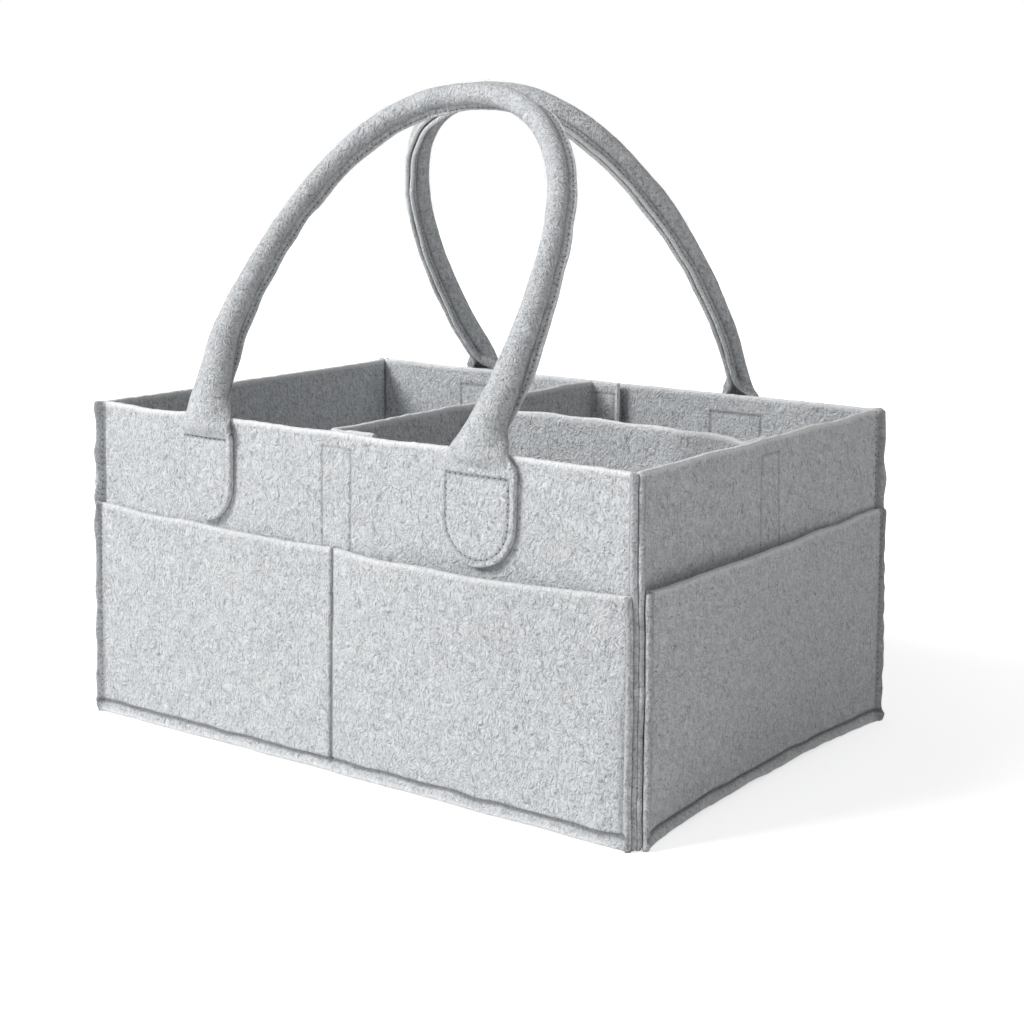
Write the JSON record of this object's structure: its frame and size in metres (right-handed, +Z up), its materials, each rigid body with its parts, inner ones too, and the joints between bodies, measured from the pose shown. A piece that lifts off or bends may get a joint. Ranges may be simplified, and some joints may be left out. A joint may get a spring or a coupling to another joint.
{
  "type": "diaper caddy",
  "caption": "Open felt storage caddy with outside pockets, lift-out dividers and a pair of rolled felt carrying handles that lean together over the middle.",
  "frame": {"origin": "centre of the footprint on the ground, under the box", "axes": "+X along the long side, towards the half divider's wall; +Y from the front to the back; +Z up"},
  "size_m": [0.3532, 0.2508, 0.3299],
  "materials": {
    "felt": "heathered light grey needled felt, matt",
    "loop_tape": "woven tape with a soft loop face",
    "hook_tape": "woven tape with a stiff hook face",
    "handle_cord": "twisted filler cord inside the rolled handle"
  },
  "bodies": {
    "box": {"bottom_panel": "felt", "front_wall": "felt", "right_wall": "felt", "back_wall": "felt", "left_wall": "felt", "front_pocket": "felt", "right_pocket": "felt", "back_pocket": "felt", "left_pocket": "felt", "front_wall_loop_tape": "loop_tape", "right_wall_loop_tape": "loop_tape", "back_wall_loop_tape": "loop_tape", "front_handle_left_tab": "felt", "front_handle_right_tab": "felt", "back_handle_left_tab": "felt", "back_handle_right_tab": "felt"},
    "front_handle": {"front_handle_grip": "felt", "front_handle_core": "handle_cord"},
    "back_handle": {"back_handle_grip": "felt", "back_handle_core": "handle_cord"},
    "cross_divider": {"cross_divider": "felt", "cross_divider_front_hook_tape": "hook_tape", "cross_divider_back_hook_tape": "hook_tape", "cross_divider_loop_tape": "loop_tape"},
    "half_divider": {"half_divider": "felt", "half_divider_inner_hook_tape": "hook_tape", "half_divider_outer_hook_tape": "hook_tape"}
  },
  "joints": [
    {"name": "front_handle_fold", "type": "hinge", "parent": "box", "child": "front_handle", "pos_m": [0, -0.11882, 0.15701], "axis": [1, 0, 0], "range_deg": [0, 150]},
    {"name": "back_handle_fold", "type": "hinge", "parent": "box", "child": "back_handle", "pos_m": [0, 0.11882, 0.15701], "axis": [-1, 0, 0], "range_deg": [0, 150]},
    {"name": "cross_divider_lift", "type": "slide", "parent": "box", "child": "cross_divider", "axis": [0, 0, 1], "range_m": [0, 0.13]},
    {"name": "half_divider_lift", "type": "slide", "parent": "box", "child": "half_divider", "axis": [0, 0, 1], "range_m": [0, 0.13]}
  ]
}
